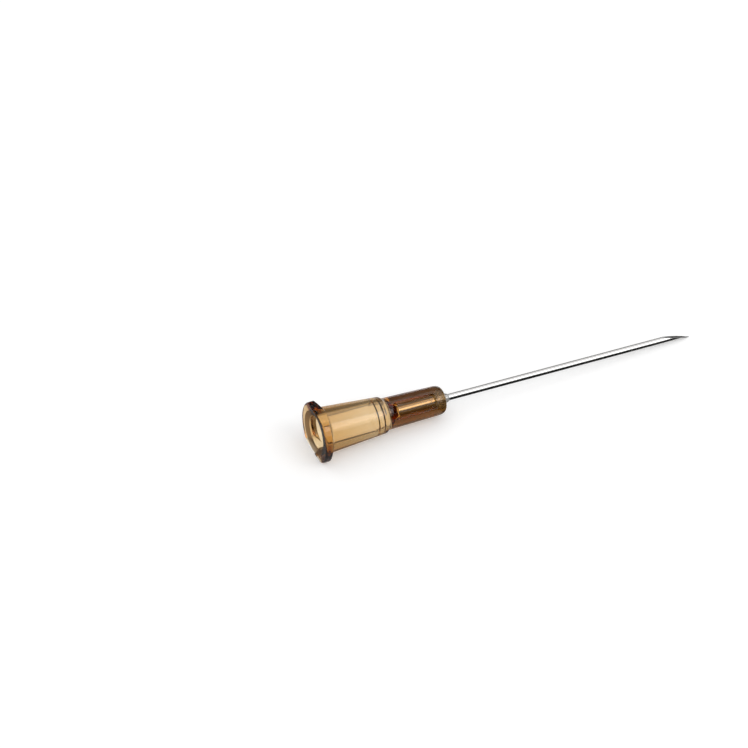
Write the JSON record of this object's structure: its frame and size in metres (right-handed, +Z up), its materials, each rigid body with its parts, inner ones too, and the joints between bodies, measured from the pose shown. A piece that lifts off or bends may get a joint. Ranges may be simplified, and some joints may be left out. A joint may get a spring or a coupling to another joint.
{
  "type": "hypodermic needle",
  "caption": "Steel hypodermic needle with a ground bevel point, bonded in a translucent amber hub with a flanged luer lock socket, lying on its side.",
  "frame": {"origin": "on the table, below the middle of the needle's overall length and width", "axes": "+X from the hub towards the point, +Z up from the table; the needle's axis dips 2.95 degrees towards the point"},
  "size_m": [0.0516, 0.0078, 0.0062],
  "materials": {
    "amber_plastic": "translucent amber moulded polypropylene, glossy",
    "ground_steel": "drawn and electropolished stainless steel tube, with a ground point",
    "clear_adhesive": "cured clear adhesive"
  },
  "bodies": {
    "root": {"hub": "amber_plastic", "cannula": "ground_steel", "adhesive": "clear_adhesive"}
  },
  "joints": []
}
